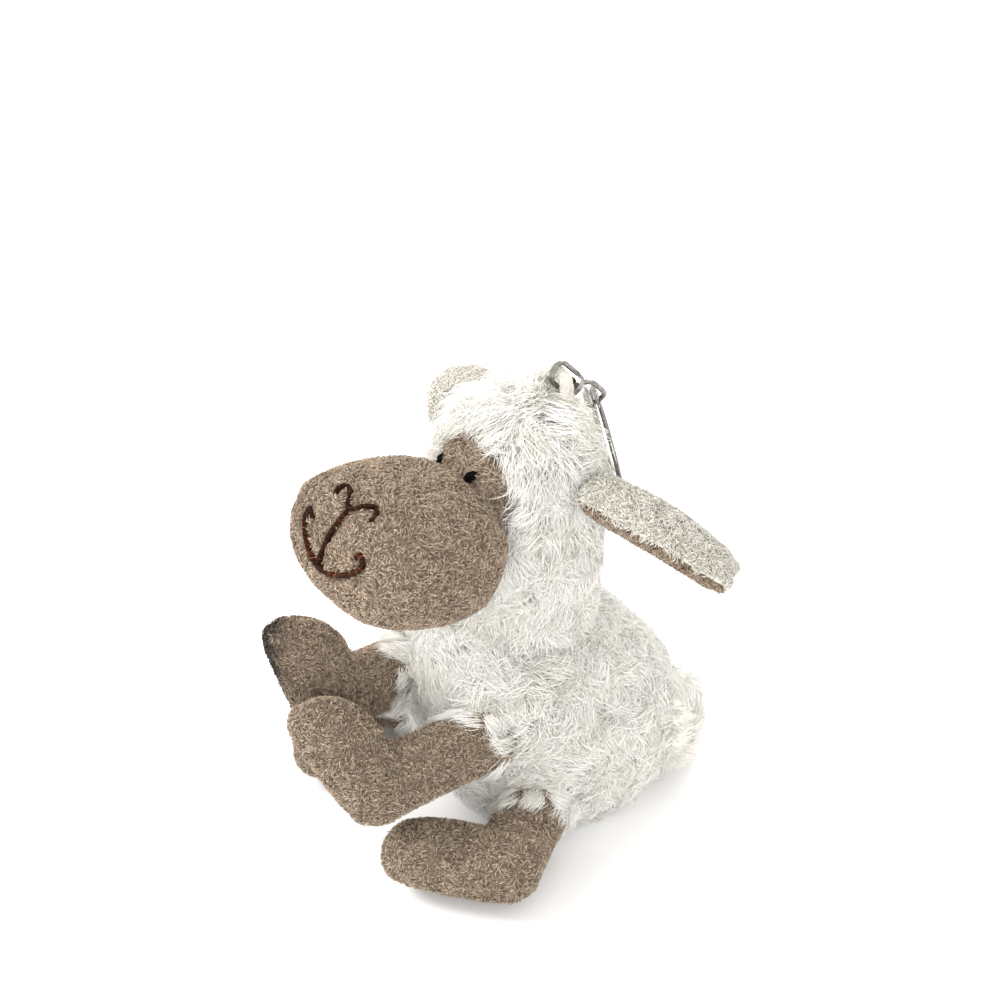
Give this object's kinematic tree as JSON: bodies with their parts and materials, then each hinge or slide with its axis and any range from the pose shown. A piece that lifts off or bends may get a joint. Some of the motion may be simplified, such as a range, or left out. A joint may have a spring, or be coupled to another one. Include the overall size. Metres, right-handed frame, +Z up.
{
  "type": "plush sheep key ring",
  "caption": "Seated plush sheep with white curly fur, taupe muzzle, hooves and ears, a cord loop, a swivel and a split ring.",
  "frame": {"origin": "middle of the flat seat that the sheep sits on", "axes": "+Z up out of the seat, the sheep faces -Y and its left side is +X"},
  "size_m": [0.103, 0.1001, 0.1139],
  "materials": {
    "white_fur": "curly long pile",
    "taupe_plush": "short curly pile",
    "pale_plush": "short pile",
    "fibre": "loose fibre filling",
    "black_thread": "satin stitch",
    "brown_thread": "chain stitch",
    "cord": "twisted cotton",
    "nickel": "polished nickel"
  },
  "bodies": {
    "torso": {"body_cover": "white_fur", "body_filling": "fibre", "tail": "white_fur"},
    "head": {"head_cover": "white_fur", "face_panel": "taupe_plush", "head_filling": "fibre", "muzzle_cover": "taupe_plush", "muzzle_filling": "fibre", "nose_stitch": "brown_thread", "lip_stitch": "brown_thread", "mouth_stitch": "brown_thread", "left_eye": "black_thread", "right_eye": "black_thread", "hanging_loop": "cord"},
    "left_arm": {"left_arm_cover": "taupe_plush", "left_arm_filling": "fibre"},
    "right_arm": {"right_arm_cover": "taupe_plush", "right_arm_filling": "fibre"},
    "left_leg": {"left_leg_cover": "taupe_plush", "left_leg_filling": "fibre"},
    "right_leg": {"right_leg_cover": "taupe_plush", "right_leg_filling": "fibre"},
    "left_ear": {"left_ear_top": "pale_plush", "left_ear_underside": "taupe_plush"},
    "right_ear": {"right_ear_top": "pale_plush", "right_ear_underside": "taupe_plush"},
    "swivel_eye": {"swivel_eye": "nickel"},
    "swivel_link": {"swivel_link": "nickel"},
    "split_ring": {"split_ring": "nickel"}
  },
  "joints": [
    {"name": "head_turn", "type": "hinge", "parent": "torso", "child": "head", "pos_m": [0, -0.011, 0.048], "axis": [0.1212, 0.1045, 0.9871], "range_deg": [-20, 20]},
    {"name": "left_arm_raise", "type": "hinge", "parent": "torso", "child": "left_arm", "pos_m": [0.01222, -0.02875, 0.02871], "axis": [-0.9915, 0.1302, 0], "range_deg": [0, 12]},
    {"name": "right_arm_raise", "type": "hinge", "parent": "torso", "child": "right_arm", "pos_m": [-0.01947, -0.02401, 0.02872], "axis": [-0.9878, -0.156, 0], "range_deg": [0, 12]},
    {"name": "left_leg_swing", "type": "hinge", "parent": "torso", "child": "left_leg", "pos_m": [0.02067, -0.02067, 0.00937], "axis": [0, 0, 1], "range_deg": [-10, 10]},
    {"name": "right_leg_swing", "type": "hinge", "parent": "torso", "child": "right_leg", "pos_m": [-0.02573, -0.01425, 0.00937], "axis": [0, 0, 1], "range_deg": [-10, 10]},
    {"name": "left_ear_flop", "type": "hinge", "parent": "head", "child": "left_ear", "pos_m": [0.02732, -0.0098, 0.09128], "axis": [0.5844, -0.7744, 0.2426], "range_deg": [-15, 15]},
    {"name": "right_ear_flop", "type": "hinge", "parent": "head", "child": "right_ear", "pos_m": [-0.01643, -0.00702, 0.08791], "axis": [0.5616, 0.8192, 0.1164], "range_deg": [-15, 15]},
    {"name": "swivel_lift", "type": "hinge", "parent": "head", "child": "swivel_eye", "pos_m": [0.00774, -0.00432, 0.11106], "axis": [1, 0, 0], "range_deg": [-3, 35]},
    {"name": "swivel_spin", "type": "hinge", "parent": "swivel_eye", "child": "swivel_link", "pos_m": [0.00774, -0.00037, 0.10681], "axis": [0, 0.682, -0.7314], "range_deg": [-200, 5]},
    {"name": "ring_swing", "type": "hinge", "parent": "swivel_link", "child": "split_ring", "pos_m": [0.00774, 0.00632, 0.09965], "axis": [0.5882, 0.5915, 0.5515], "range_deg": [-12, 25]}
  ]
}
